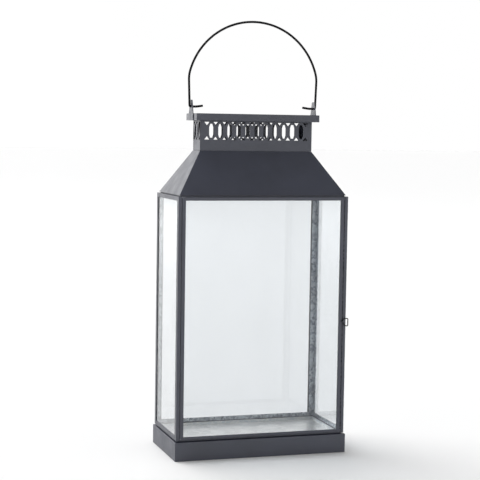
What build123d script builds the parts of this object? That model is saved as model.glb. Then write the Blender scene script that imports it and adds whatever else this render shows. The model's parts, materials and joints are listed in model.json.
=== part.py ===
from build123d import *

import math
import os

# A glazed sheet-metal lantern: a hollow plinth, a four-post body with glass on every side,
# a hinged glass door in front, a hipped roof, a pierced chimney with a flat cap, and a wire
# bail hung in two lugs.  Millimetres, +Z up, the door faces -Y.  The origin is the middle
# of the plinth's underside.

# ---- driving dimensions ----
sheet = 0.8              # painted steel sheet
zinc_sheet = 0.6         # bare galvanised glazing beads
glass_t = 2.0            # window glass

plinth_ledge_w = 2.0     # plinth beyond the body's sides
plinth_ledge_d = 3.0     # plinth beyond the body's front and back
plinth_h = 28.5
plinth_hem = 6.0         # foot of the skirt, folded inwards
plinth_edge_r = 0.7      # soft outer folds

body_w = 266.0
body_d = 130.0
body_h = 362.6           # posts, from the floor's rim to the roof seat
side_leg = 8.0           # post leg along the left and right walls
back_leg = 12.0          # post leg along the back wall
front_leg = 4.9          # post leg beside the door
rail_h = 6.4             # visible height of the side and back rails
sill_flange = 5.0        # inward fold that the glass stands on
top_flange = 10.0        # inward fold that carries the roof

tray_inset = 3.0         # floor's rim, in from the body's faces
tray_rim_t = 1.8         # hemmed rim that the posts stand on
tray_rim_w = 2.5         # width of the rim around the well
tray_depth = 2.3         # floor sheet below the plinth's top
tray_play = 0.5          # well walls to the hole in the plinth

bead_side_leg = 10.0     # zinc corner beads, along the side walls
bead_back_leg = 7.6      # zinc corner beads, along the back wall
glass_play = 0.3         # pane edges to what they stand in

door_gap = 0.7           # between the leaf and the posts
door_end_gap = 0.3       # between the leaf and the sill or header
stile_w = 5.6
door_rail_bottom_h = 4.0
door_rail_top_h = 4.8
hinge_inset = 2.2        # hinge axis in from the stile's edge
hinge_pin_play = 0.05    # between a pin and the channel that holds it
hinge_pin_grip = 12.0    # length of pin inside the stile
running_play = 0.05      # radial clearance of the pins that turn
stop_gap = 0.4           # closed leaf to the folds that stop it
stop_lap = 0.6           # how far the latch jamb reaches behind the leaf

latch_wire_r = 0.8
latch_z = 202.5          # height of the latch pivot
latch_inset = 1.9        # latch pivot in from the leaf's free edge
latch_reach = 10.6       # pivot to the loop's far bar
latch_up = 4.4           # pivot to the loop's top bar
latch_down = 7.9         # pivot to the loop's bottom corner
latch_mid_down = 5.9     # the same, half way back along the bottom bar
latch_end_reach = 2.9    # pivot to the wire's end, which stops short of the shank
latch_end_down = 2.0
latch_tongue = 3.6       # turned end inside the door
latch_bend_r = 1.0
latch_corner_r = 1.7
latch_loop_gap = 0.5     # loop to the door's face
latch_tongue_gap = 0.4   # tongue to the fold that it turns behind

roof_inset_w = 2.3       # roof's edge in from the body's sides
roof_inset_d = 3.7       # roof's edge in from the body's front and back
roof_gap = 1.7           # shadow gap between the body and the roof's edge
roof_rise = 65.1
seat_w = 12.0            # width of the frame under the roof

chimney_w = 177.7
chimney_d = 38.8
chimney_h = 45.1         # visible wall, from the roof to the cap
slot_pitch = 14.26       # a wall takes as many slots as fit on this pitch
back_slot_pitch = 13.13  # the back wall's row is punched closer together
back_slot_shift = -1.8   # and a little off the wall's middle
slot_margin = 4.2        # least wall left at each end of a row
slot_w = 7.0
slot_end_w = 3.8
slot_h = 21.0
slot_shoulder_h = 11.0   # height of the slot's parallel middle
slot_row_drop = 15.3     # cap edge down to the middle of the row
tri_w = 8.0
tri_h = 5.2
tri_spread = 26.8        # between the bases of the upper and lower triangles

cap_over_w = 8.45        # cap beyond the chimney's end walls
cap_over_d = 10.2        # cap beyond the chimney's front and back
cap_h = 10.5

lug_t = 1.2
lug_base_w = 23.0
lug_tip_w = 11.0
lug_rise = 20.4          # above the cap
lug_tip_r = 3.0
pivot_rise = 10.2        # bail axis above the cap

bail_wire_r = 1.7
bail_belly = 5.7         # widest point of the bail beyond the lugs' faces
bail_arc_rise = 25.3     # arc centre above the bail axis
bail_arc_end = 16.0      # degrees above level where the arc meets the shoulder
bail_shoulder_r = 45.0
bail_foot_r = 2.1
bail_tail = 17.5         # from the lug's inner face to the tip
bail_tail_straight = 5.0
bail_tail_bend_r = 30.0
bail_tail_rise = 8.0     # degrees

# ---- levels and sizes that follow from them ----
plinth_w = body_w + 2 * plinth_ledge_w
plinth_d = body_d + 2 * plinth_ledge_d
roof_w = body_w - 2 * roof_inset_w
roof_d = body_d - 2 * roof_inset_d
cap_w = chimney_w + 2 * cap_over_w
cap_d = chimney_d + 2 * cap_over_d
body_z = plinth_h + tray_rim_t
body_top = body_z + body_h
half_w = body_w / 2
half_d = body_d / 2
pane_out_x = half_w - sheet          # outer faces of the side panes
pane_out_y = half_d - sheet
bead_x = pane_out_x - glass_t        # zinc beads lie against the panes
bead_y = pane_out_y - glass_t
sill_top = body_z + sheet
head_under = body_top - sheet

leaf_half = half_w - front_leg - door_gap
leaf_y = -half_d                     # front face of the leaf
leaf_t = glass_t + 2 * sheet
leaf_mid_y = leaf_y + leaf_t / 2
leaf_z = sill_top + door_end_gap
leaf_top = head_under - door_end_gap
hinge_x = -leaf_half + hinge_inset
hinge_pin_r = glass_t / 2 - hinge_pin_play
latch_x = leaf_half - latch_inset
stop_y = leaf_y + leaf_t + stop_gap  # front face of the folds behind the leaf

roof_z = body_top + roof_gap
roof_top = roof_z + roof_rise
roof_run_w = (roof_w - chimney_w) / 2
roof_run_d = (roof_d - chimney_d) / 2
roof_skin = sheet * math.hypot(roof_run_w, roof_rise) / roof_rise
cap_z = roof_top + chimney_h
cap_top = cap_z + cap_h
cap_under = cap_top - sheet
pivot_z = cap_top + pivot_rise
lug_face = cap_w / 2 + lug_t
bail_arc_r = lug_face + bail_belly


def save(piece, name):
    piece.part.label = name
    export_step(piece.part, f"parts/{name}.step")


def angle_profile(corner, inward, legs, thick):
    """The six points of an L: its outer corner, the two inward directions and leg lengths."""
    cx, cy = corner
    dx, dy = inward
    leg_x, leg_y = legs
    return [
        (cx, cy),
        (cx + dx * leg_x, cy),
        (cx + dx * leg_x, cy + dy * thick),
        (cx + dx * thick, cy + dy * thick),
        (cx + dx * thick, cy + dy * leg_y),
        (cx, cy + dy * leg_y),
    ]


def strip_profile(low, high):
    """The four points of a rectangle between two corners."""
    return [low, (high[0], low[1]), high, (low[0], high[1])]


def folded_bar(plane, points, length):
    """A straight piece of folded sheet: one outline pushed along its plane's normal."""
    with BuildPart() as bar:
        with BuildSketch(plane):
            with BuildLine():
                Polyline(*points, close=True)
            make_face()
        extrude(amount=length)
    return bar


def upright(points, low, high):
    return folded_bar(Plane.XY.offset(low), points, high - low)


def along_y(points, front, back):
    return folded_bar(Plane.XZ.offset(-back), points, back - front)


def along_x(points, left, right):
    return folded_bar(Plane.YZ.offset(left), points, right - left)


os.makedirs("parts", exist_ok=True)

# ---- plinth: a hollow skirt with a folded foot and a hole for the floor ----
well_half_w = half_w - tray_inset - tray_rim_w
well_half_d = half_d - tray_inset - tray_rim_w

with BuildPart() as plinth:
    with BuildSketch():
        Rectangle(plinth_w, plinth_d)
    extrude(amount=plinth_h)
    folds = plinth.edges().filter_by(Axis.Z) + plinth.edges().group_by(Axis.Z)[-1]
    fillet(folds, plinth_edge_r)
    with BuildSketch(Plane.XY.offset(sheet)):
        Rectangle(plinth_w - 2 * sheet, plinth_d - 2 * sheet)
    extrude(amount=plinth_h - 2 * sheet, mode=Mode.SUBTRACT)
    with BuildSketch():
        Rectangle(plinth_w - 2 * plinth_hem, plinth_d - 2 * plinth_hem)
    extrude(amount=sheet, mode=Mode.SUBTRACT)
    with BuildSketch(Plane.XY.offset(plinth_h - sheet)):
        Rectangle(2 * (well_half_w + tray_play), 2 * (well_half_d + tray_play))
    extrude(amount=sheet, mode=Mode.SUBTRACT)
save(plinth, "plinth")

# ---- floor: a zinc sheet in a folded frame that hangs in the plinth by its hemmed rim ----
tray_floor = plinth_h - tray_depth
floor_under = tray_floor - sheet
floor_w = 2 * (well_half_w - sheet)
floor_d = 2 * (well_half_d - sheet)

with BuildPart() as floor_sheet:
    with BuildSketch(Plane.XY.offset(floor_under)):
        Rectangle(floor_w, floor_d)
    extrude(amount=sheet)
save(floor_sheet, "floor_sheet")

with BuildPart() as floor_frame:
    with BuildSketch(Plane.XY.offset(floor_under)):
        Rectangle(2 * well_half_w, 2 * well_half_d)
    extrude(amount=plinth_h - floor_under)
    with BuildSketch(Plane.XY.offset(plinth_h)):
        Rectangle(body_w - 2 * tray_inset, body_d - 2 * tray_inset)
    extrude(amount=tray_rim_t)
    with BuildSketch(Plane.XY.offset(floor_under)):
        Rectangle(floor_w, floor_d)
    extrude(amount=body_z - floor_under, mode=Mode.SUBTRACT)
save(floor_frame, "floor_frame")

# ---- corner posts: painted angles, the back ones with a foot folded under the glass ----
for side, sx in (("left", -1), ("right", 1)):
    corner = (sx * half_w, -half_d)
    outline = angle_profile(corner, (-sx, 1), (front_leg, side_leg), sheet)
    save(upright(outline, body_z, body_top), f"post_front_{side}")

    corner = (sx * half_w, half_d)
    outline = angle_profile(corner, (-sx, -1), (back_leg, side_leg), sheet)
    foot_along_back = (corner[0] - sx * back_leg, half_d - sill_flange)
    foot_along_side = (corner[0] - sx * sill_flange, half_d - side_leg)
    with BuildPart() as post:
        with BuildSketch(Plane.XY.offset(body_z)):
            with BuildLine():
                Polyline(*outline, close=True)
            make_face()
        extrude(amount=body_h)
        for inner in (foot_along_back, foot_along_side):
            with BuildSketch(Plane.XY.offset(body_z)):
                with BuildLine():
                    Polyline(*strip_profile(corner, inner), close=True)
                make_face()
            extrude(amount=sheet)
    save(post, f"post_back_{side}")

# ---- side and back rails: angles between the posts, at the foot and at the head ----
side_end = half_d - side_leg
back_end = half_w - back_leg

for side, sx in (("left", -1), ("right", 1)):
    foot = angle_profile((sx * half_w, body_z), (-sx, 1), (sill_flange, rail_h), sheet)
    save(along_y(foot, -side_end, side_end), f"rail_bottom_{side}")
    head = angle_profile((sx * half_w, body_top), (-sx, -1), (top_flange, rail_h), sheet)
    save(along_y(head, -side_end, side_end), f"rail_top_{side}")

foot = angle_profile((half_d, body_z), (-1, 1), (sill_flange, rail_h), sheet)
save(along_x(foot, -back_end, back_end), "rail_bottom_back")
head = angle_profile((half_d, body_top), (-1, -1), (top_flange, rail_h), sheet)
save(along_x(head, -back_end, back_end), "rail_top_back")

# ---- door sill and header: flanges that take the hinge pins, with a fold behind the leaf ----
stop_left = hinge_x + stile_w + sheet     # the fold starts clear of the turning stile
sill_stop_h = door_rail_bottom_h - sheet
header_depth = side_leg
post_face = half_w - sheet

with BuildPart() as door_sill:
    with BuildSketch(Plane.XY.offset(body_z)):
        with BuildLine():
            Polyline(*strip_profile((-post_face, leaf_y), (post_face, stop_y + sheet)), close=True)
        make_face()
        with Locations((-half_w, leaf_y), (half_w, leaf_y)):
            Rectangle(2 * front_leg, 2 * sheet, mode=Mode.SUBTRACT)
        with Locations((hinge_x, leaf_mid_y)):
            Circle(hinge_pin_r + running_play, mode=Mode.SUBTRACT)
    extrude(amount=sheet)
    with BuildSketch(Plane.XY.offset(sill_top)):
        with BuildLine():
            Polyline(*strip_profile((stop_left, stop_y), (latch_x, stop_y + sheet)), close=True)
        make_face()
    extrude(amount=sill_stop_h)
save(door_sill, "door_sill")

with BuildPart() as door_header:
    with BuildSketch(Plane.XY.offset(head_under)):
        with BuildLine():
            front_edge = (-post_face, leaf_y)
            back_edge = (post_face, leaf_y + header_depth)
            Polyline(*strip_profile(front_edge, back_edge), close=True)
        make_face()
        with Locations((-half_w, leaf_y), (half_w, leaf_y)):
            Rectangle(2 * front_leg, 2 * sheet, mode=Mode.SUBTRACT)
        with Locations((hinge_x, leaf_mid_y)):
            Circle(hinge_pin_r + running_play, mode=Mode.SUBTRACT)
    extrude(amount=sheet)
    with BuildSketch(Plane.XY.offset(head_under)):
        with BuildLine():
            fold_low = (-back_end, leaf_y + header_depth - sheet)
            fold_high = (back_end, leaf_y + header_depth)
            Polyline(*strip_profile(fold_low, fold_high), close=True)
        make_face()
    extrude(amount=-door_rail_bottom_h)
save(door_header, "door_header")

# ---- fixed panes ----
pane_low = sill_top + glass_play
pane_high = head_under - glass_play
side_pane_end = pane_out_y - glass_play

for side, sx in (("left", -1), ("right", 1)):
    outline = strip_profile((sx * bead_x, -side_pane_end), (sx * pane_out_x, side_pane_end))
    save(upright(outline, pane_low, pane_high), f"glass_{side}")

back_pane_end = bead_x - glass_play
outline = strip_profile((-back_pane_end, bead_y), (back_pane_end, pane_out_y))
save(upright(outline, pane_low, pane_high), "glass_back")

# ---- zinc beads that hold the panes from inside ----
for side, sx in (("left", -1), ("right", 1)):
    legs = (bead_back_leg, bead_side_leg)
    outline = angle_profile((sx * bead_x, bead_y), (-sx, -1), legs, zinc_sheet)
    save(upright(outline, sill_top, head_under), f"bead_back_{side}")
    jamb_leg = bead_x - leaf_half + stop_lap if sx > 0 else bead_x - leaf_half - stop_lap
    legs = (jamb_leg, bead_side_leg)
    outline = angle_profile((sx * bead_x, stop_y), (-sx, 1), legs, zinc_sheet)
    save(upright(outline, sill_top, head_under), f"bead_front_{side}")

bead_front_end = stop_y + bead_side_leg
bead_back_end = bead_y - bead_side_leg
bead_h = rail_h - sheet

for level, low in (("bottom", sill_top), ("top", head_under - bead_h)):
    for side, sx in (("left", -1), ("right", 1)):
        inner = sx * (bead_x - zinc_sheet)
        outline = strip_profile((inner, bead_front_end), (sx * bead_x, bead_back_end))
        save(upright(outline, low, low + bead_h), f"bead_{level}_{side}")
    end = bead_x - bead_back_leg
    outline = strip_profile((-end, bead_y - zinc_sheet), (end, bead_y))
    save(upright(outline, low, low + bead_h), f"bead_{level}_back")

# ---- door leaf: folded channels round one pane ----
channel_r = sheet        # outer folds of the stiles


def stile(sx, pin_hole):
    """A channel whose web is the leaf's edge; its outer folds are round so that it can turn."""
    with BuildPart() as channel:
        with BuildSketch(Plane.XY.offset(leaf_z)):
            with Locations((sx * (leaf_half - stile_w / 2), leaf_mid_y)):
                Rectangle(stile_w, leaf_t)
        extrude(amount=leaf_top - leaf_z)
        outer_folds = channel.edges().filter_by(Axis.Z).sort_by(Axis.X)
        outer_folds = outer_folds[:2] if sx < 0 else outer_folds[-2:]
        fillet(outer_folds, channel_r)
        with BuildSketch(Plane.XY.offset(leaf_z)):
            with Locations((sx * (leaf_half - sheet - stile_w / 2), leaf_mid_y)):
                Rectangle(stile_w, glass_t)
        extrude(amount=leaf_top - leaf_z, mode=Mode.SUBTRACT)
        if pin_hole:
            with BuildSketch(Plane.XZ.offset(-leaf_y - leaf_t)):
                with Locations((latch_x, latch_z)):
                    Circle(latch_wire_r + running_play)
            extrude(amount=leaf_t, mode=Mode.SUBTRACT)
    return channel


save(stile(-1, False), "door_stile_hinge")
save(stile(1, True), "door_stile_latch")

rail_end = leaf_half - stile_w


def door_rail(web_z, lip_z):
    """A channel between the stiles, open towards the pane."""
    up = 1 if lip_z > web_z else -1
    back_y = leaf_y + leaf_t
    outline = [
        (leaf_y, web_z),
        (back_y, web_z),
        (back_y, lip_z),
        (back_y - sheet, lip_z),
        (back_y - sheet, web_z + up * sheet),
        (leaf_y + sheet, web_z + up * sheet),
        (leaf_y + sheet, lip_z),
        (leaf_y, lip_z),
    ]
    return along_x(outline, -rail_end, rail_end)


save(door_rail(leaf_z, leaf_z + door_rail_bottom_h), "door_rail_bottom")
save(door_rail(leaf_top, leaf_top - door_rail_top_h), "door_rail_top")

door_pane_left = hinge_x + hinge_pin_r + glass_play
door_pane_right = latch_x - latch_wire_r - glass_play
pane_front = leaf_y + sheet
outline = strip_profile((door_pane_left, pane_front), (door_pane_right, pane_front + glass_t))
pane_foot = leaf_z + sheet + glass_play
pane_head = leaf_top - sheet - glass_play
save(upright(outline, pane_foot, pane_head), "door_glass")

pin_set_back = 0.1       # pin tips below the faces they run in

with BuildPart() as door_hinge_pins:
    with BuildSketch(Plane.XY.offset(body_z + pin_set_back)):
        with Locations((hinge_x, leaf_mid_y)):
            Circle(hinge_pin_r)
    extrude(amount=leaf_z - body_z + hinge_pin_grip)
    with BuildSketch(Plane.XY.offset(body_top - pin_set_back)):
        with Locations((hinge_x, leaf_mid_y)):
            Circle(hinge_pin_r)
    extrude(amount=leaf_top - body_top - hinge_pin_grip)
save(door_hinge_pins, "door_hinge_pins")

# ---- latch: one bent wire, a loop outside, a shank through the stile and a tongue inside ----
loop_y = leaf_y - latch_loop_gap - latch_wire_r
tongue_y = stop_y + zinc_sheet + latch_tongue_gap + latch_wire_r
loop_right = latch_x + latch_reach
loop_top = latch_z + latch_up

with BuildPart() as latch_loop:
    with BuildLine() as latch_path:
        FilletPolyline(
            (latch_x, tongue_y, latch_z + latch_tongue),
            (latch_x, tongue_y, latch_z),
            (latch_x, loop_y, latch_z),
            (latch_x + latch_up, loop_y, loop_top),
            (loop_right, loop_y, loop_top),
            (loop_right, loop_y, latch_z - latch_down),
            (latch_x + latch_reach / 2, loop_y, latch_z - latch_mid_down),
            (latch_x + latch_end_reach, loop_y, latch_z - latch_end_down),
            radius=2 * [latch_bend_r] + 4 * [latch_corner_r],
        )
    with BuildSketch(Plane(latch_path.line @ 0, z_dir=latch_path.line % 0)):
        Circle(latch_wire_r)
    sweep()
save(latch_loop, "latch_loop")

# ---- roof: a seat frame and four mitred sheets ----
seat_top = roof_z + sheet * roof_rise / roof_run_w
seat_half_w = roof_w / 2 - roof_skin - sheet
seat_half_d = roof_d / 2 - roof_skin - sheet * roof_run_d / roof_run_w

with BuildPart() as roof_seat:
    with BuildSketch(Plane.XY.offset(body_top)):
        Rectangle(2 * seat_half_w, 2 * seat_half_d)
        Rectangle(2 * (seat_half_w - seat_w), 2 * (seat_half_d - seat_w), mode=Mode.SUBTRACT)
    extrude(amount=seat_top - body_top)
save(roof_seat, "roof_seat")

eave_x, eave_y = roof_w / 2, roof_d / 2
neck_x, neck_y = chimney_w / 2, chimney_d / 2
roof_plans = {
    "front": [(-eave_x, -eave_y), (eave_x, -eave_y), (neck_x, -neck_y), (-neck_x, -neck_y)],
    "back": [(-eave_x, eave_y), (eave_x, eave_y), (neck_x, neck_y), (-neck_x, neck_y)],
    "left": [(-eave_x, -eave_y), (-eave_x, eave_y), (-neck_x, neck_y), (-neck_x, -neck_y)],
    "right": [(eave_x, -eave_y), (eave_x, eave_y), (neck_x, neck_y), (neck_x, -neck_y)],
}


def roof_sheet(plan):
    """One side of the hipped shell, cut out of it along the mitres."""
    with BuildPart() as panel:
        with BuildSketch(Plane.XY.offset(roof_z)):
            Rectangle(roof_w, roof_d)
        with BuildSketch(Plane.XY.offset(roof_top)):
            Rectangle(chimney_w, chimney_d)
        loft()
        with BuildSketch(Plane.XY.offset(roof_z)):
            Rectangle(roof_w - 2 * roof_skin, roof_d - 2 * roof_skin)
        with BuildSketch(Plane.XY.offset(roof_top)):
            Rectangle(chimney_w - 2 * roof_skin, chimney_d - 2 * roof_skin)
        loft(mode=Mode.SUBTRACT)
        with BuildSketch(Plane.XY.offset(roof_z)):
            with BuildLine():
                Polyline(*plan, close=True)
            make_face()
        extrude(amount=roof_rise, mode=Mode.INTERSECT)
    return panel


for side, plan in roof_plans.items():
    save(roof_sheet(plan), f"roof_{side}")

# ---- chimney: four pierced walls up to the cap's top sheet ----
row_z = cap_z - slot_row_drop
slot_outline = [
    (slot_end_w / 2, slot_h / 2),
    (slot_w / 2, slot_shoulder_h / 2),
    (slot_w / 2, -slot_shoulder_h / 2),
    (slot_end_w / 2, -slot_h / 2),
    (-slot_end_w / 2, -slot_h / 2),
    (-slot_w / 2, -slot_shoulder_h / 2),
    (-slot_w / 2, slot_shoulder_h / 2),
    (-slot_end_w / 2, slot_h / 2),
]
tri_base = tri_spread / 2
upper_tri = [(-tri_w / 2, tri_base), (tri_w / 2, tri_base), (0, tri_base - tri_h)]
lower_tri = [(-tri_w / 2, -tri_base), (tri_w / 2, -tri_base), (0, -tri_base + tri_h)]


def pierced_wall(plane, width, pitch=slot_pitch, shift=0.0):
    """A wall with a row of tall slots, and small triangles between their ends."""
    slots = int((width - 2 * slot_margin) / pitch)
    slot_centres = [(shift + (i - (slots - 1) / 2) * pitch, row_z) for i in range(slots)]
    gap_centres = [(shift + (i - slots / 2) * pitch, row_z) for i in range(slots + 1)]
    with BuildPart() as wall:
        with BuildSketch(plane):
            with Locations((0, (roof_top + cap_under) / 2)):
                Rectangle(width, cap_under - roof_top)
            with Locations(*slot_centres):
                Polygon(*slot_outline, align=None, mode=Mode.SUBTRACT)
            with Locations(*gap_centres):
                Polygon(*upper_tri, align=None, mode=Mode.SUBTRACT)
                Polygon(*lower_tri, align=None, mode=Mode.SUBTRACT)
        extrude(amount=-sheet)
    return wall


end_wall_w = chimney_d - 2 * sheet
save(pierced_wall(Plane.XZ.offset(neck_y), chimney_w), "chimney_front")
back_plane = Plane.XZ.offset(-neck_y + sheet)
back_wall = pierced_wall(back_plane, chimney_w, back_slot_pitch, back_slot_shift)
save(back_wall, "chimney_back")
save(pierced_wall(Plane.YZ.offset(neck_x), end_wall_w), "chimney_right")
save(pierced_wall(Plane.YZ.offset(-neck_x + sheet), end_wall_w), "chimney_left")

# ---- cap: a shallow lid, open below ----
with BuildPart() as cap:
    with BuildSketch(Plane.XY.offset(cap_z)):
        Rectangle(cap_w, cap_d)
    extrude(amount=cap_h)
    folds = cap.edges().filter_by(Axis.Z) + cap.edges().group_by(Axis.Z)[-1]
    fillet(folds, plinth_edge_r)
    with BuildSketch(Plane.XY.offset(cap_z)):
        Rectangle(cap_w - 2 * sheet, cap_d - 2 * sheet)
    extrude(amount=cap_h - sheet, mode=Mode.SUBTRACT)
save(cap, "cap")

# ---- lugs on the cap's ends ----
lug_outline = [
    (-lug_base_w / 2, cap_z),
    (lug_base_w / 2, cap_z),
    (lug_base_w / 2, cap_top),
    (lug_tip_w / 2, cap_top + lug_rise),
    (-lug_tip_w / 2, cap_top + lug_rise),
    (-lug_base_w / 2, cap_top),
]

for side, start in (("left", -lug_face), ("right", cap_w / 2)):
    with BuildPart() as lug:
        with BuildSketch(Plane.YZ.offset(start)):
            with BuildLine():
                Polyline(*lug_outline, close=True)
            make_face()
            tips = vertices().group_by(Axis.Y)[-1]
            fillet(tips, lug_tip_r)
            with Locations((0, pivot_z)):
                Circle(bail_wire_r + running_play, mode=Mode.SUBTRACT)
        extrude(amount=lug_t)
    save(lug, f"lug_{side}")

# ---- bail: a round wire, bent in the plane of its own axis ----
arc_z = pivot_z + bail_arc_rise
end_angle = math.radians(bail_arc_end)
shoulder_gap = bail_arc_r - bail_shoulder_r
shoulder_x = shoulder_gap * math.cos(end_angle)
shoulder_z = arc_z + shoulder_gap * math.sin(end_angle)
foot_x = lug_face
foot_z = pivot_z + bail_foot_r

# The leg is the line that touches both the shoulder's circle and the foot's.
across = shoulder_x - foot_x
along = shoulder_z - foot_z
spread = math.hypot(across, along)
leg_normal = math.degrees(
    math.atan2(along, across) - math.acos((bail_foot_r - bail_shoulder_r) / spread)
)

tail_x = foot_x - lug_t - bail_tail_straight
curl_length = bail_tail_bend_r * math.sin(math.radians(bail_tail_rise))
tip_length = bail_tail - bail_tail_straight - curl_length

with BuildPart() as bail:
    with BuildLine(Plane.XZ) as half_path:
        CenterArc((0, arc_z), bail_arc_r, 90, bail_arc_end - 90)
        shoulder = CenterArc(
            (shoulder_x, shoulder_z), bail_shoulder_r, bail_arc_end, leg_normal - bail_arc_end
        )
        foot = CenterArc((foot_x, foot_z), bail_foot_r, leg_normal, -90 - leg_normal)
        Line(shoulder @ 1, foot @ 0)
        Line(foot @ 1, (tail_x, pivot_z))
        curl = CenterArc(
            (tail_x, pivot_z + bail_tail_bend_r), bail_tail_bend_r, -90, -bail_tail_rise
        )
        Line(curl @ 1, curl @ 1 + (curl % 1) * tip_length)
    with BuildSketch(Plane(half_path.line @ 0, z_dir=(1, 0, 0))):
        Circle(bail_wire_r)
    sweep(path=half_path.line)
    mirror(about=Plane.YZ)
save(bail, "bail")
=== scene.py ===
"""A glazed sheet-metal lantern: finished surfaces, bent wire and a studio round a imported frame."""

import json
import math

import bpy
from mathutils import Matrix, Vector

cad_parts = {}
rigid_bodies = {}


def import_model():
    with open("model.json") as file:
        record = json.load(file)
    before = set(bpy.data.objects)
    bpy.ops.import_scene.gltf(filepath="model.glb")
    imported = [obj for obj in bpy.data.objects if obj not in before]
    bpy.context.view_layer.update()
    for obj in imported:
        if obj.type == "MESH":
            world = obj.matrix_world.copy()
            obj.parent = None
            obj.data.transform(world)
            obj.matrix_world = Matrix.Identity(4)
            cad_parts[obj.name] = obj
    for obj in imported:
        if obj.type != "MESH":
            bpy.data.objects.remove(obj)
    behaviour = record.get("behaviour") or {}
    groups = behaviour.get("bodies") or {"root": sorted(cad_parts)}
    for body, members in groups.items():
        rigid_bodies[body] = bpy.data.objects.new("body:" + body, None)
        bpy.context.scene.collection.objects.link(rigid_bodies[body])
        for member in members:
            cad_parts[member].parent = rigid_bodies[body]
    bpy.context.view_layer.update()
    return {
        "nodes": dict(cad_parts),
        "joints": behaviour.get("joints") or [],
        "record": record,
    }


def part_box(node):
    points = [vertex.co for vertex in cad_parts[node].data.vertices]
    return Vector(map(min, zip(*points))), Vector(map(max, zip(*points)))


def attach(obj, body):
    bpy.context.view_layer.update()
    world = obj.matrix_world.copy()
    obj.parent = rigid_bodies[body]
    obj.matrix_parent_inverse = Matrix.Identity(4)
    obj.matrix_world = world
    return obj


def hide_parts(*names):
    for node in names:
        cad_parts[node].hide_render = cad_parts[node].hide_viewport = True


bl_info = {
    "name": "Glazed lantern",
    "version": (1, 0, 0),
    "blender": (4, 5, 0),
    "location": "View3D > Sidebar > Lantern",
    "description": "Finishes a glazed sheet-metal lantern: folded edges, paint, zinc, glass, wire",
    "category": "Object",
}

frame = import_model()

MM = 0.001
JOIN_WITHIN = 0.002 * MM  # corners of a copied node nearer than this are one
WIRE_JOIN = 0.01 * MM  # the same for the two halves of the bail
FLAT_WITHIN = math.radians(0.5)  # faces that meet at less than this are one
FOLD_ANGLE = math.radians(35.0)  # edges sharper than this are rounded
WIRE_SIDES = 20
WIRE_SMOOTH = math.radians(40.0)  # the wire's faces blend into each other below this
TIP_ROUNDING = 0.3  # of the wire's radius, at its cut ends
NOISE_MIDDLE = (0.3, 0.7)  # most of a noise's values lie between these
SENSOR_WIDTH = 36.0  # the camera's, in millimetres

POSTS = ("post_front_left", "post_front_right", "post_back_left", "post_back_right")
RAILS = (
    "rail_bottom_left", "rail_bottom_right", "rail_bottom_back",
    "rail_top_left", "rail_top_right", "rail_top_back",
)
DOORWAY = ("door_sill", "door_header")
BEADS = (
    "bead_front_left", "bead_front_right", "bead_back_left", "bead_back_right",
    "bead_bottom_left", "bead_bottom_right", "bead_bottom_back",
    "bead_top_left", "bead_top_right", "bead_top_back",
)
PANES = ("glass_left", "glass_right", "glass_back")
DOOR_FRAME = ("door_stile_hinge", "door_stile_latch", "door_rail_bottom", "door_rail_top")
ROOF = ("roof_front", "roof_back", "roof_left", "roof_right")
CHIMNEY = ("chimney_front", "chimney_back", "chimney_left", "chimney_right")
LUGS = ("lug_left", "lug_right")


# ---- settings ----
class PaintSettings(bpy.types.PropertyGroup):
    """The satin powder paint outside."""

    colour: bpy.props.FloatVectorProperty(
        name="Colour", description="Blue-black of the paint", subtype="COLOR", size=4,
        default=(0.027, 0.031, 0.050, 1.0), min=0.0, max=1.0,
    )
    worn_colour: bpy.props.FloatVectorProperty(
        name="Worn edge", description="Rubbed paint along the folds", subtype="COLOR", size=4,
        default=(0.070, 0.074, 0.086, 1.0), min=0.0, max=1.0,
    )
    roughness: bpy.props.FloatProperty(
        name="Roughness", description="Middle roughness of the paint", default=0.42,
        min=0.0, max=1.0, subtype="FACTOR",
    )
    peel: bpy.props.FloatProperty(
        name="Orange peel", description="Distance between the bumps of the paint",
        default=1.1 * MM, min=0.1 * MM, unit="LENGTH",
    )
    fold: bpy.props.FloatProperty(
        name="Fold radius", description="Rounding of the painted sheet's edges",
        default=0.25 * MM, min=0.01 * MM, unit="LENGTH",
    )


class ZincSettings(bpy.types.PropertyGroup):
    """The bare galvanised sheet inside: spangled beads and a smoother floor. Both come from one
    zinc: the beads' tones are painted darker as shade on the upright strips, and the floor's are
    painted lighter as light falling on it.
    """

    # Painted shade: the beads' tones are set darker than the floor's, for the shade on the upright
    # strips.
    shaded_bead_bright: bpy.props.FloatVectorProperty(
        name="Bead, light", description="Brightest crystals of the beads", subtype="COLOR",
        size=4, default=(0.52, 0.56, 0.60, 1.0), min=0.0, max=1.0,
    )
    shaded_bead_deep: bpy.props.FloatVectorProperty(
        name="Bead, dark", description="Darkest crystals of the beads", subtype="COLOR",
        size=4, default=(0.16, 0.18, 0.21, 1.0), min=0.0, max=1.0,
    )
    bead_crystal: bpy.props.FloatProperty(
        name="Bead crystal", description="Width of one crystal of the beads",
        default=3.2 * MM, min=0.5 * MM, unit="LENGTH",
    )
    # Painted light: the floor's tones are set lighter than the beads', for the light falling on the
    # level floor.
    lit_floor_bright: bpy.props.FloatVectorProperty(
        name="Floor, light", description="Brightest crystals of the floor", subtype="COLOR",
        size=4, default=(0.88, 0.87, 0.85, 1.0), min=0.0, max=1.0,
    )
    lit_floor_deep: bpy.props.FloatVectorProperty(
        name="Floor, dark", description="Darkest crystals of the floor", subtype="COLOR",
        size=4, default=(0.70, 0.70, 0.685, 1.0), min=0.0, max=1.0,
    )
    floor_crystal: bpy.props.FloatProperty(
        name="Floor crystal", description="Width of one crystal of the floor",
        default=9.0 * MM, min=0.5 * MM, unit="LENGTH",
    )
    fold: bpy.props.FloatProperty(
        name="Fold radius", description="Rounding of the zinc sheet's edges",
        default=0.18 * MM, min=0.01 * MM, unit="LENGTH",
    )


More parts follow.
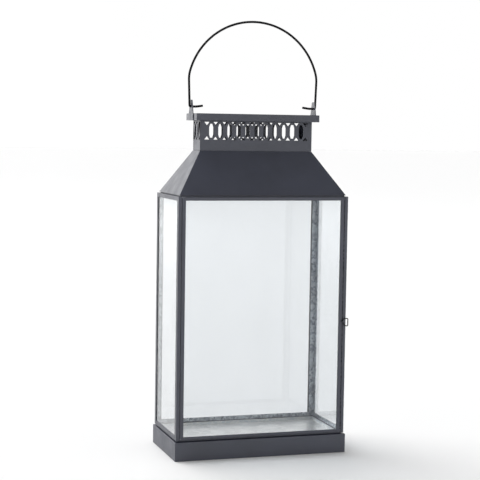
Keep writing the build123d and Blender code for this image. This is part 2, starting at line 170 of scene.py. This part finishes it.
class GlassSettings(bpy.types.PropertyGroup):
    """The panes."""

    tint: bpy.props.FloatVectorProperty(
        name="Tint", description="Colour that the glass lets through", subtype="COLOR",
        size=4, default=(0.872, 0.889, 0.902, 1.0), min=0.0, max=1.0,
    )
    arris: bpy.props.FloatProperty(
        name="Arris", description="Ground edge of a pane", default=0.2 * MM,
        min=0.01 * MM, unit="LENGTH",
    )


class WireSettings(bpy.types.PropertyGroup):
    """The round wire of the bail, as it is bent, and the cut ends of wire and pins."""

    colour: bpy.props.FloatVectorProperty(
        name="Colour", description="Black of the painted wire", subtype="COLOR", size=4,
        default=(0.005, 0.005, 0.006, 1.0), min=0.0, max=1.0,
    )
    radius: bpy.props.FloatProperty(
        name="Wire radius", description="Half the thickness of the bail", default=1.7 * MM,
        min=0.1 * MM, unit="LENGTH",
    )
    burr: bpy.props.FloatProperty(
        name="Cut end", description="Rounding of the latch's and the pins' ends",
        default=0.15 * MM, min=0.01 * MM, unit="LENGTH",
    )
    belly: bpy.props.FloatProperty(
        name="Belly", description="Widest point of the bail beyond the lugs",
        default=5.7 * MM, unit="LENGTH",
    )
    arc_rise: bpy.props.FloatProperty(
        name="Arc rise", description="Centre of the large arc above the pivots",
        default=25.3 * MM, unit="LENGTH",
    )
    arc_end: bpy.props.FloatProperty(
        name="Arc end", description="Angle above level where the arc meets the shoulder",
        default=math.radians(16.0), subtype="ANGLE",
    )
    shoulder: bpy.props.FloatProperty(
        name="Shoulder radius", description="Tighter bend below the large arc",
        default=45.0 * MM, unit="LENGTH",
    )
    foot: bpy.props.FloatProperty(
        name="Foot radius", description="Bend where the wire turns into its lug",
        default=2.1 * MM, unit="LENGTH",
    )
    tail: bpy.props.FloatProperty(
        name="Tail", description="Length of wire inside a lug", default=17.5 * MM,
        unit="LENGTH",
    )
    tail_straight: bpy.props.FloatProperty(
        name="Straight of the tail", description="Level wire before the tail curls up",
        default=5.0 * MM, unit="LENGTH",
    )
    tail_bend: bpy.props.FloatProperty(
        name="Tail bend", description="Radius of the tail's curl", default=30.0 * MM,
        unit="LENGTH",
    )
    tail_rise: bpy.props.FloatProperty(
        name="Tail rise", description="Angle that the tail's tip climbs at",
        default=math.radians(8.0), subtype="ANGLE",
    )


class StageSettings(bpy.types.PropertyGroup):
    """Camera, floor and lamps."""

    eye: bpy.props.FloatVectorProperty(
        name="Eye", description="Where the camera stands", subtype="TRANSLATION",
        default=(-0.657, -2.025, 0.494),
    )
    azimuth: bpy.props.FloatProperty(
        name="Azimuth", description="Turn of the camera round the lantern",
        default=math.radians(-17.52), subtype="ANGLE",
    )
    elevation: bpy.props.FloatProperty(
        name="Elevation", description="How far the camera looks down",
        default=math.radians(4.60), subtype="ANGLE",
    )
    roll: bpy.props.FloatProperty(
        name="Roll", description="Tilt of the camera", default=math.radians(0.88),
        subtype="ANGLE",
    )
    lens: bpy.props.FloatProperty(
        name="Lens", description="Focal length in millimetres on a 36 mm sensor",
        default=104.2,
    )
    floor_colour: bpy.props.FloatVectorProperty(
        name="Floor", description="Pale floor", subtype="COLOR", size=4,
        default=(0.90, 0.90, 0.90, 1.0), min=0.0, max=1.0,
    )
    floor_size: bpy.props.FloatProperty(
        name="Floor size", description="Width of the floor", default=60.0, unit="LENGTH",
    )
    horizon: bpy.props.FloatProperty(
        name="Horizon", description="Strength of the sky at eye level", default=1.0, min=0.0,
    )
    overhead: bpy.props.FloatProperty(
        name="Overhead", description="Strength of the sky above", default=0.27, min=0.0,
    )
    window_way: bpy.props.FloatVectorProperty(
        name="Window", description="Way to the brightest part of the sky", subtype="XYZ",
        default=(-0.46, 0.88, -0.1),
    )
    window_glow: bpy.props.FloatProperty(
        name="Window glow", description="What the window adds to the sky", default=1.7, min=0.0,
    )
    sun_place: bpy.props.FloatVectorProperty(
        name="Sun", description="Side that the high soft light comes from", subtype="XYZ",
        default=(-0.4, 0.7, 1.3),
    )
    sun_spread: bpy.props.FloatProperty(
        name="Sun spread", description="How wide the high light is", subtype="ANGLE",
        default=math.radians(50.0),
    )
    sun_strength: bpy.props.FloatProperty(
        name="Sun strength", description="Strength of the high light", default=2.1, min=0.0,
    )
    wash_place: bpy.props.FloatVectorProperty(
        name="Floor lamp", description="Where the lamp over the floor hangs",
        subtype="TRANSLATION", default=(-2.0, 4.8, 2.6),
    )
    wash_target: bpy.props.FloatVectorProperty(
        name="Floor lamp's aim", description="Spot of the floor behind the lantern",
        subtype="TRANSLATION", default=(-1.8, 4.4, 0.0),
    )
    wash_size: bpy.props.FloatProperty(
        name="Floor lamp's width", description="Side of the square lamp", default=2.2,
        unit="LENGTH",
    )
    wash_power: bpy.props.FloatProperty(
        name="Floor lamp's power", description="Watts of the lamp over the floor", default=55.0,
        min=0.0,
    )


# ---- helpers ----
def clear_selection():
    for obj in bpy.context.view_layer.objects:
        obj.select_set(False)


def activate(obj):
    clear_selection()
    obj.select_set(True)
    bpy.context.view_layer.objects.active = obj


def apply_modifier(obj, kind, **values):
    modifier = obj.modifiers.new(kind.title(), kind)
    for key, value in values.items():
        setattr(modifier, key, value)
    activate(obj)
    bpy.ops.object.modifier_apply(modifier=modifier.name)


def round_edges(obj, radius, segments):
    """Rounds the folds and cut edges, and keeps the flats flat."""
    activate(obj)
    bpy.ops.object.shade_smooth()
    apply_modifier(
        obj, "BEVEL", width=radius, segments=segments, limit_method="ANGLE",
        angle_limit=FOLD_ANGLE, use_clamp_overlap=True,
    )
    apply_modifier(obj, "WEIGHTED_NORMAL", mode="FACE_AREA", weight=50, keep_sharp=False)


def joined_copy(node):
    """A copy of a CAD node with its triangles joined into whole faces."""
    source = frame["nodes"][node]
    piece = bpy.data.objects.new(f"finished_{node}", source.data.copy())
    bpy.context.scene.collection.objects.link(piece)
    activate(piece)
    bpy.ops.object.mode_set(mode="EDIT")
    bpy.ops.mesh.select_all(action="SELECT")
    bpy.ops.mesh.remove_doubles(threshold=JOIN_WITHIN)
    bpy.ops.mesh.dissolve_limited(angle_limit=FLAT_WITHIN)
    bpy.ops.object.mode_set(mode="OBJECT")
    return piece


def body_of_node(node):
    for body, members in frame["record"]["behaviour"]["bodies"].items():
        if node in members:
            return body
    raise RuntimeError(f"{node} is in no body")


def upright(angle):
    """The unit vector that climbs at that angle in the XZ plane."""
    return Vector((math.cos(angle), 0.0, math.sin(angle)))


def bend_wire(centre, angle, steps):
    """Carries the wire's open end round the centre. Spin counts its angle the other way."""
    bpy.ops.mesh.spin(steps=steps, angle=-angle, center=centre, axis=(0.0, 1.0, 0.0))


def run_wire(way):
    """Carries the wire's open end straight on."""
    bpy.ops.mesh.extrude_region_move(TRANSFORM_OT_translate={"value": way})


def finish_piece(piece, node, material):
    piece.data.materials.clear()
    piece.data.materials.append(material)
    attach(piece, body_of_node(node))
    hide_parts(node)


def dress(node, material, radius, segments=2):
    """Stands a copy with rounded edges in for a CAD node."""
    piece = joined_copy(node)
    round_edges(piece, radius, segments)
    finish_piece(piece, node, bpy.data.materials[material])


# ---- materials ----
def shade(colour, factor):
    """The colour made that many times as light, with an alpha of 1."""
    return tuple(Vector(colour[:3]) * factor) + (1.0,)


class Nodes:
    """An empty node tree, with short calls for the nodes that the looks and the sky share."""

    def __init__(self, tree):
        self.tree = tree
        tree.nodes.clear()

    def add(self, kind, **values):
        node = self.tree.nodes.new(kind)
        for key, value in values.items():
            setattr(node, key, value)
        return node

    def link(self, output, socket):
        self.tree.links.new(output, socket)

    def ramp(self, value, low, high, to_low=0.0, to_high=1.0, curve="LINEAR"):
        node = self.add("ShaderNodeMapRange", interpolation_type=curve)
        node.inputs["From Min"].default_value = low
        node.inputs["From Max"].default_value = high
        node.inputs["To Min"].default_value = to_low
        node.inputs["To Max"].default_value = to_high
        self.link(value, node.inputs["Value"])
        return node.outputs["Result"]

    def maths(self, operation, first, second):
        node = self.add("ShaderNodeMath", operation=operation)
        for socket, value in zip(node.inputs, (first, second)):
            if isinstance(value, (int, float)):
                socket.default_value = value
            else:
                self.link(value, socket)
        return node.outputs["Value"]

    def parts_of(self, vector):
        split = self.add("ShaderNodeSeparateXYZ")
        self.link(vector, split.inputs["Vector"])
        return split.outputs

    def dot(self):
        return self.add("ShaderNodeVectorMath", operation="DOT_PRODUCT")


class Board(Nodes):
    """A material: a Principled shader, and patterns on Object coordinates for its sockets."""

    def __init__(self, name):
        self.material = bpy.data.materials.new(name)
        self.material.use_nodes = True
        super().__init__(self.material.node_tree)
        self.out = self.add("ShaderNodeOutputMaterial")
        self.shader = self.add("ShaderNodeBsdfPrincipled")
        self.link(self.shader.outputs["BSDF"], self.out.inputs["Surface"])
        self.coords = self.add("ShaderNodeTexCoord").outputs["Object"]

    def noise(self, size, detail=3.0, roughness=0.5, stretch=(1.0, 1.0, 1.0)):
        """Noise whose bumps are about that many metres apart."""
        mapping = self.add("ShaderNodeMapping")
        mapping.inputs["Scale"].default_value = stretch
        self.link(self.coords, mapping.inputs["Vector"])
        node = self.add("ShaderNodeTexNoise")
        node.inputs["Scale"].default_value = 1.0 / size
        node.inputs["Detail"].default_value = detail
        node.inputs["Roughness"].default_value = roughness
        self.link(mapping.outputs["Vector"], node.inputs["Vector"])
        return node.outputs["Fac"]

    def blend(self, factor, first, second):
        """A mix of two colours, each a socket or four numbers."""
        node = self.add("ShaderNodeMix", data_type="RGBA")
        self.link(factor, node.inputs["Factor"])
        colours = [s for s in node.inputs if s.type == "RGBA"]
        for socket, value in zip(colours, (first, second)):
            if hasattr(value, "links"):
                self.link(value, socket)
            else:
                socket.default_value = tuple(value)
        return next(s for s in node.outputs if s.type == "RGBA")

    def bump(self, height, distance, strength, below=None):
        node = self.add("ShaderNodeBump")
        node.inputs["Distance"].default_value = distance
        node.inputs["Strength"].default_value = strength
        self.link(height, node.inputs["Height"])
        if below is not None:
            self.link(below, node.inputs["Normal"])
        return node.outputs["Normal"]

    def edges(self, radius):
        """Near 1 on a fold or a cut edge, and 0 on a flat."""
        bevel = self.add("ShaderNodeBevel", samples=6)
        bevel.inputs["Radius"].default_value = radius
        flat = self.add("ShaderNodeNewGeometry")
        dot = self.dot()
        self.link(bevel.outputs["Normal"], dot.inputs[0])
        self.link(flat.outputs["True Normal"], dot.inputs[1])
        return self.ramp(dot.outputs["Value"], low=1.0, high=0.75)

    def past(self, reach):
        """1 farther from the middle than reach[0] along X or reach[1] along Y, and 0 inside."""
        parts = self.parts_of(self.coords)
        sides = []
        for axis, limit in zip(("X", "Y"), reach):
            away = self.maths("ABSOLUTE", parts[axis], 0.0)
            sides.append(self.maths("GREATER_THAN", away, limit))
        return self.maths("MAXIMUM", *sides)

    def show(self, colour, roughness, normal):
        self.link(colour, self.shader.inputs["Base Color"])
        self.link(roughness, self.shader.inputs["Roughness"])
        self.link(normal, self.shader.inputs["Normal"])


def make_paint(settings):
    """Satin powder paint: fine orange peel, faint clouding, rubbed folds and a little dust."""
    board = Board("satin_paint")
    clouds = board.noise(70 * MM, detail=4.0)
    scuffs = board.noise(5 * MM)
    specks = board.noise(0.9 * MM, detail=1.0)
    sheen = board.noise(18 * MM, detail=5.0)
    peel = board.noise(settings.peel, detail=2.0)
    deep = shade(settings.colour, 0.84)
    pale = shade(settings.colour, 1.22)
    base = board.blend(board.ramp(clouds, *NOISE_MIDDLE), deep, pale)
    rubbed = board.maths("MULTIPLY", board.edges(0.7 * MM), board.ramp(scuffs, low=0.4, high=0.7))
    base = board.blend(rubbed, base, settings.worn_colour)
    dust = board.maths("MULTIPLY", board.ramp(specks, low=0.66, high=0.8), 0.35)
    base = board.blend(dust, base, settings.worn_colour)
    glossiest = settings.roughness - 0.05
    dullest = settings.roughness + 0.07
    roughness = board.ramp(sheen, *NOISE_MIDDLE, glossiest, dullest)
    normal = board.bump(peel, distance=0.05 * MM, strength=0.5)
    board.show(base, roughness, normal)
    board.shader.inputs["IOR"].default_value = 1.72


def make_zinc(name, light, dark, crystal, gloss, gap_shade_past=None, paint=None):
    """Galvanised sheet: a mosaic of crystals, each with its own tone and gloss.

    Past the two given distances from the middle, the paint's colour covers the zinc: painted shade
    for the dark gap between the plinth and the body.
    """
    board = Board(name)
    warp = board.add("ShaderNodeTexNoise")
    warp.inputs["Scale"].default_value = 1.0 / (2.2 * crystal)
    board.link(board.coords, warp.inputs["Vector"])
    push = board.add("ShaderNodeVectorMath", operation="MULTIPLY_ADD")
    board.link(warp.outputs["Color"], push.inputs[0])
    push.inputs[1].default_value = (crystal,) * 3
    board.link(board.coords, push.inputs[2])
    cells = board.add("ShaderNodeTexVoronoi")
    cells.inputs["Scale"].default_value = 1.0 / crystal
    board.link(push.outputs["Vector"], cells.inputs["Vector"])
    split = board.add("ShaderNodeSeparateColor")
    board.link(cells.outputs["Color"], split.inputs["Color"])
    feathers = board.noise(1.6 * MM, detail=3.0, stretch=(1.0, 1.0, 0.35))
    cell_tone = board.maths("MULTIPLY", split.outputs["Red"], 0.6)
    feather_tone = board.maths("MULTIPLY", feathers, 0.4)
    tone = board.maths("ADD", cell_tone, feather_tone)
    base = board.blend(board.ramp(tone, low=0.2, high=0.8), dark, light)
    roughness = board.ramp(split.outputs["Green"], 0.0, 1.0, *gloss)
    tilt = board.bump(split.outputs["Blue"], distance=0.04 * MM, strength=0.2)
    normal = board.bump(feathers, distance=0.02 * MM, strength=0.25, below=tilt)
    board.shader.inputs["Metallic"].default_value = 1.0
    # Painted shade: the rim's outer faces take the paint's colour, standing in for the dark gap
    # under the body.
    if gap_shade_past is not None:
        gap_shade_mask = board.past(gap_shade_past)
        base = board.blend(gap_shade_mask, base, paint)
        bare = board.maths("SUBTRACT", 1.0, gap_shade_mask)
        board.link(bare, board.shader.inputs["Metallic"])
    board.show(base, roughness, normal)


def make_glass(settings):
    """Window glass with a faint tint. Shadows pass it as they would a clear film."""
    board = Board("window_glass")
    waves = board.noise(90 * MM, detail=1.0)
    smears = board.noise(25 * MM, detail=6.0, roughness=0.65, stretch=(1.0, 1.0, 0.5))
    normal = board.bump(waves, distance=0.3 * MM, strength=0.12)
    hazy = shade(settings.tint, 0.985)
    base = board.blend(board.ramp(smears, low=0.45, high=0.75), settings.tint, hazy)
    board.link(base, board.shader.inputs["Base Color"])
    board.link(normal, board.shader.inputs["Normal"])
    board.shader.inputs["Roughness"].default_value = 0.0
    board.shader.inputs["IOR"].default_value = 1.5
    board.shader.inputs["Transmission Weight"].default_value = 1.0
    clear = board.add("ShaderNodeBsdfTransparent")
    clear.inputs["Color"].default_value = settings.tint
    rays = board.add("ShaderNodeLightPath")
    mix = board.add("ShaderNodeMixShader")
    board.link(rays.outputs["Is Shadow Ray"], mix.inputs["Fac"])
    board.link(board.shader.outputs["BSDF"], mix.inputs[1])
    board.link(clear.outputs["BSDF"], mix.inputs[2])
    board.link(mix.outputs["Shader"], board.out.inputs["Surface"])


def make_wire(settings):
    """Black paint on drawn wire, with faint draw marks."""
    board = Board("black_wire")
    marks = board.noise(0.8 * MM, detail=3.0, stretch=(1.0, 1.0, 0.4))
    patches = board.noise(9 * MM, detail=4.0)
    pale = shade(settings.colour, 1.9)
    base = board.blend(board.ramp(patches, low=0.4, high=0.75), settings.colour, pale)
    roughness = board.ramp(patches, *NOISE_MIDDLE, 0.48, 0.62)
    normal = board.bump(marks, distance=0.02 * MM, strength=0.2)
    board.show(base, roughness, normal)
    board.shader.inputs["Specular IOR Level"].default_value = 0.12


def make_steel():
    """Bright drawn wire of the hinge pins."""
    board = Board("drawn_steel")
    marks = board.noise(0.5 * MM, detail=2.0, stretch=(1.0, 1.0, 0.1))
    dull = (0.38, 0.38, 0.39, 1.0)
    bright = (0.52, 0.52, 0.53, 1.0)
    base = board.blend(marks, dull, bright)
    roughness = board.ramp(marks, *NOISE_MIDDLE, 0.25, 0.4)
    normal = board.bump(marks, distance=0.02 * MM, strength=0.3)
    board.show(base, roughness, normal)
    board.shader.inputs["Metallic"].default_value = 1.0


# ---- operators ----
class LANTERN_OT_finishes(bpy.types.Operator):
    """Make the paint, zinc, glass, wire and steel"""

    bl_idname = "lantern.finishes"
    bl_label = "Finishes"

    def execute(self, context):
        scene = context.scene
        make_paint(scene.lantern_paint)
        zinc = scene.lantern_zinc
        # Lit and shaded copies of one zinc: the beads are painted darker as shade, and the floor
        # lighter as light.
        make_zinc(
            "shaded_bead_zinc", zinc.shaded_bead_bright, zinc.shaded_bead_deep, zinc.bead_crystal, gloss=(0.28, 0.42),
        )
        make_zinc(
            "lit_floor_zinc", zinc.lit_floor_bright, zinc.lit_floor_deep, zinc.floor_crystal,
            gloss=(0.30, 0.38),
        )
        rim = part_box("floor_frame")[1]
        skin = 0.1 * MM  # the painted shade of the dark gap covers the rim's faces, to this depth
        # The frame's tones lie between the floor's darkest and the beads' brightest. This is a copy
        # of the zinc painted darker as shade, and its outer faces take the paint's colour as painted
        # shade for the dark gap under the body.
        make_zinc(
            "shaded_frame_zinc", zinc.lit_floor_deep, zinc.shaded_bead_bright, zinc.bead_crystal,
            gloss=(0.38, 0.48), gap_shade_past=(rim.x - skin, rim.y - skin),
            paint=scene.lantern_paint.colour,
        )
        make_glass(scene.lantern_glass)
        make_wire(scene.lantern_wire)
        make_steel()
        return {"FINISHED"}


class LANTERN_OT_base(bpy.types.Operator):
    """Finish the plinth and the zinc floor in it"""

    bl_idname = "lantern.base"
    bl_label = "Plinth and floor"

    def execute(self, context):
        scene = context.scene
        dress("plinth", "satin_paint", scene.lantern_paint.fold)
        dress("floor_sheet", "lit_floor_zinc", scene.lantern_zinc.fold)
        dress("floor_frame", "shaded_frame_zinc", scene.lantern_zinc.fold)
        return {"FINISHED"}


class LANTERN_OT_body(bpy.types.Operator):
    """Finish the posts, rails, sill and header"""

    bl_idname = "lantern.body"
    bl_label = "Body frame"

    def execute(self, context):
        for node in POSTS + RAILS + DOORWAY:
            dress(node, "satin_paint", context.scene.lantern_paint.fold)
        return {"FINISHED"}


class LANTERN_OT_glazing(bpy.types.Operator):
    """Finish the fixed panes and the zinc beads that hold them"""

    bl_idname = "lantern.glazing"
    bl_label = "Glazing"

    def execute(self, context):
        scene = context.scene
        for node in PANES:
            dress(node, "window_glass", scene.lantern_glass.arris, segments=1)
        for node in BEADS:
            dress(node, "shaded_bead_zinc", scene.lantern_zinc.fold)
        return {"FINISHED"}


class LANTERN_OT_door(bpy.types.Operator):
    """Finish the door's frame, pane and hinge pins"""

    bl_idname = "lantern.door"
    bl_label = "Door"

    def execute(self, context):
        scene = context.scene
        for node in DOOR_FRAME:
            dress(node, "satin_paint", scene.lantern_paint.fold)
        dress("door_glass", "window_glass", scene.lantern_glass.arris, segments=1)
        dress("door_hinge_pins", "drawn_steel", scene.lantern_wire.burr)
        return {"FINISHED"}


class LANTERN_OT_latch(bpy.types.Operator):
    """Finish the wire loop that fastens the door"""

    bl_idname = "lantern.latch"
    bl_label = "Latch"

    def execute(self, context):
        dress("latch_loop", "black_wire", context.scene.lantern_wire.burr)
        return {"FINISHED"}


class LANTERN_OT_roof(bpy.types.Operator):
    """Finish the roof, the chimney, the cap and the lugs"""

    bl_idname = "lantern.roof"
    bl_label = "Roof and chimney"

    def execute(self, context):
        fold = context.scene.lantern_paint.fold
        for node in ("roof_seat",) + ROOF + CHIMNEY + ("cap",) + LUGS:
            dress(node, "satin_paint", fold)
        return {"FINISHED"}


class LANTERN_OT_bail(bpy.types.Operator):
    """Bend the bail from round wire"""

    bl_idname = "lantern.bail"
    bl_label = "Bail"

    def execute(self, context):
        wire = context.scene.lantern_wire
        hinge = next(joint for joint in frame["joints"] if joint["name"] == "bail_swing")
        pivot_z = hinge["pos_m"][2]
        lug_low, lug_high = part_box("lug_right")
        lug_face = lug_high.x
        lug_inner = lug_low.x

        # The arc, the shoulder and the foot are round, and the leg touches the last two.
        arc_r = lug_face + wire.belly
        arc_centre = Vector((0.0, 0.0, pivot_z + wire.arc_rise))
        reach = arc_r - wire.shoulder
        shoulder_centre = arc_centre + reach * upright(wire.arc_end)
        foot_centre = Vector((lug_face, 0.0, pivot_z + wire.foot))
        across = shoulder_centre - foot_centre
        leg_angle = math.atan2(across.z, across.x) - math.acos(
            (wire.foot - wire.shoulder) / across.length
        )
        leg_out = upright(leg_angle)
        leg_top = shoulder_centre + wire.shoulder * leg_out
        leg_end = foot_centre + wire.foot * leg_out

        # The tail runs level through the lug, and then curls up a little to its tip.
        inward = lug_face - lug_inner + wire.tail_straight
        curl_centre = Vector((lug_face - inward, 0.0, pivot_z + wire.tail_bend))
        tip = wire.tail - wire.tail_straight - wire.tail_bend * math.sin(wire.tail_rise)
        tip_way = upright(math.pi - wire.tail_rise)

        # The right half is bent from the top down, and the left half mirrors it.
        clear_selection()
        bpy.ops.mesh.primitive_circle_add(
            vertices=WIRE_SIDES, radius=wire.radius, fill_type="NOTHING",
            location=arc_centre + Vector((0.0, 0.0, arc_r)),
            rotation=(0.0, math.pi / 2, 0.0),
        )
        bail = context.object
        bail.name = "bail_wire"
        bpy.ops.object.transform_apply(location=True, rotation=True, scale=True)
        bpy.ops.object.mode_set(mode="EDIT")
        bpy.ops.mesh.select_all(action="SELECT")
        bend_wire(arc_centre, math.pi / 2 - wire.arc_end, steps=40)
        bend_wire(shoulder_centre, wire.arc_end - leg_angle, steps=10)
        run_wire(leg_end - leg_top)
        bend_wire(foot_centre, leg_angle + math.pi / 2, steps=8)
        run_wire(Vector((-inward, 0.0, 0.0)))
        bend_wire(curl_centre, wire.tail_rise, steps=4)
        run_wire(tip * tip_way)
        bpy.ops.mesh.edge_face_add()
        bpy.ops.mesh.bevel(offset=TIP_ROUNDING * wire.radius, segments=3, affect="EDGES")
        bpy.ops.object.mode_set(mode="OBJECT")

        apply_modifier(bail, "MIRROR", use_axis=(True, False, False), merge_threshold=WIRE_JOIN)
        activate(bail)
        bpy.ops.object.mode_set(mode="EDIT")
        bpy.ops.mesh.select_all(action="SELECT")
        bpy.ops.mesh.remove_doubles(threshold=WIRE_JOIN)
        bpy.ops.mesh.normals_make_consistent(inside=False)
        bpy.ops.object.mode_set(mode="OBJECT")
        bpy.ops.object.shade_smooth_by_angle(angle=WIRE_SMOOTH)
        finish_piece(bail, "bail", bpy.data.materials["black_wire"])
        return {"FINISHED"}


class LANTERN_OT_stage(bpy.types.Operator):
    """Set up the camera, the floor, the sky and the lamps"""

    bl_idname = "lantern.stage"
    bl_label = "Studio"

    def execute(self, context):
        stage = context.scene.lantern_stage
        self.make_camera(context, stage)
        self.make_floor(stage)
        self.make_sky(context, stage)
        self.make_sun(context, stage)
        self.make_floor_lamp(context, stage)
        context.scene.view_settings.view_transform = "Standard"
        return {"FINISHED"}

    def make_camera(self, context, stage):
        turn = stage.azimuth
        dip = stage.elevation
        forward = Vector(
            (-math.sin(turn) * math.cos(dip), math.cos(turn) * math.cos(dip), -math.sin(dip))
        )
        right = forward.cross(Vector((0.0, 0.0, 1.0))).normalized()
        up = right.cross(forward)
        side = math.cos(stage.roll) * right + math.sin(stage.roll) * up
        top = math.cos(stage.roll) * up - math.sin(stage.roll) * right
        data = bpy.data.cameras.new("studio_camera")
        data.sensor_width = SENSOR_WIDTH
        data.lens = stage.lens
        data.clip_start = 0.05
        data.clip_end = 200.0
        camera = bpy.data.objects.new("studio_camera", data)
        context.scene.collection.objects.link(camera)
        turned = Matrix((side, top, -forward)).transposed().to_4x4()
        camera.matrix_world = Matrix.Translation(Vector(stage.eye)) @ turned
        context.scene.camera = camera

    def make_floor(self, stage):
        clear_selection()
        bpy.ops.mesh.primitive_plane_add(size=stage.floor_size)
        floor = bpy.context.object
        floor.name = "studio_floor"
        board = Board("pale_floor")
        board.shader.inputs["Base Color"].default_value = stage.floor_colour
        board.shader.inputs["Roughness"].default_value = 0.9
        floor.data.materials.append(board.material)

    def make_sky(self, context, stage):
        """Bright near the horizon, darker overhead, and brightest where a window would be."""
        world = bpy.data.worlds.new("studio_sky")
        world.use_nodes = True
        context.scene.world = world
        sky = Nodes(world.node_tree)
        output = sky.add("ShaderNodeOutputWorld")
        background = sky.add("ShaderNodeBackground")
        background.inputs["Color"].default_value = (1.0, 1.0, 1.0, 1.0)
        sky.link(background.outputs["Background"], output.inputs["Surface"])
        way = sky.add("ShaderNodeTexCoord").outputs["Generated"]
        height = sky.parts_of(way)["Z"]
        fade = sky.ramp(height, 0.3, 0.75, stage.horizon, stage.overhead, curve="SMOOTHSTEP")
        facing = sky.dot()
        facing.inputs[1].default_value = Vector(stage.window_way).normalized()
        sky.link(way, facing.inputs[0])
        glow = sky.ramp(
            facing.outputs["Value"], 0.75, 1.0, 0.0, stage.window_glow, curve="SMOOTHSTEP",
        )
        sky.link(sky.maths("ADD", fade, glow), background.inputs["Strength"])

    def make_sun(self, context, stage):
        data = bpy.data.lights.new("high_sun", "SUN")
        data.angle = stage.sun_spread
        data.energy = stage.sun_strength
        sun = bpy.data.objects.new("high_sun", data)
        context.scene.collection.objects.link(sun)
        shine = -Vector(stage.sun_place)
        sun.rotation_euler = shine.to_track_quat("-Z", "Y").to_euler()

    def make_floor_lamp(self, context, stage):
        """Keeps the floor behind the lantern white, and isn't seen in the glass itself."""
        data = bpy.data.lights.new("floor_wash", "AREA")
        data.shape = "SQUARE"
        data.size = stage.wash_size
        data.energy = stage.wash_power
        lamp = bpy.data.objects.new("floor_wash", data)
        context.scene.collection.objects.link(lamp)
        lamp.location = stage.wash_place
        shine = Vector(stage.wash_target) - Vector(stage.wash_place)
        lamp.rotation_euler = shine.to_track_quat("-Z", "Y").to_euler()
        lamp.visible_camera = False
        lamp.visible_transmission = False
        lamp.visible_glossy = False


class LANTERN_PT_panel(bpy.types.Panel):
    """The lantern's steps, in order"""

    bl_idname = "LANTERN_PT_panel"
    bl_label = "Glazed lantern"
    bl_space_type = "VIEW_3D"
    bl_region_type = "UI"
    bl_category = "Lantern"

    def draw(self, context):
        for operator in OPERATORS:
            self.layout.operator(operator.bl_idname)


SETTINGS = {
    "lantern_paint": PaintSettings,
    "lantern_zinc": ZincSettings,
    "lantern_glass": GlassSettings,
    "lantern_wire": WireSettings,
    "lantern_stage": StageSettings,
}
OPERATORS = (
    LANTERN_OT_finishes,
    LANTERN_OT_base,
    LANTERN_OT_body,
    LANTERN_OT_glazing,
    LANTERN_OT_door,
    LANTERN_OT_latch,
    LANTERN_OT_roof,
    LANTERN_OT_bail,
    LANTERN_OT_stage,
)


def register():
    for name, group in SETTINGS.items():
        bpy.utils.register_class(group)
        setattr(bpy.types.Scene, name, bpy.props.PointerProperty(type=group))
    for operator in OPERATORS:
        bpy.utils.register_class(operator)
    bpy.utils.register_class(LANTERN_PT_panel)


def unregister():
    bpy.utils.unregister_class(LANTERN_PT_panel)
    for operator in reversed(OPERATORS):
        bpy.utils.unregister_class(operator)
    for name, group in reversed(SETTINGS.items()):
        delattr(bpy.types.Scene, name)
        bpy.utils.unregister_class(group)


def main():
    register()
    bpy.ops.lantern.finishes()
    bpy.ops.lantern.base()
    bpy.ops.lantern.body()
    bpy.ops.lantern.glazing()
    bpy.ops.lantern.door()
    bpy.ops.lantern.latch()
    bpy.ops.lantern.roof()
    bpy.ops.lantern.bail()
    bpy.ops.lantern.stage()


if __name__ == "__main__":
    main()
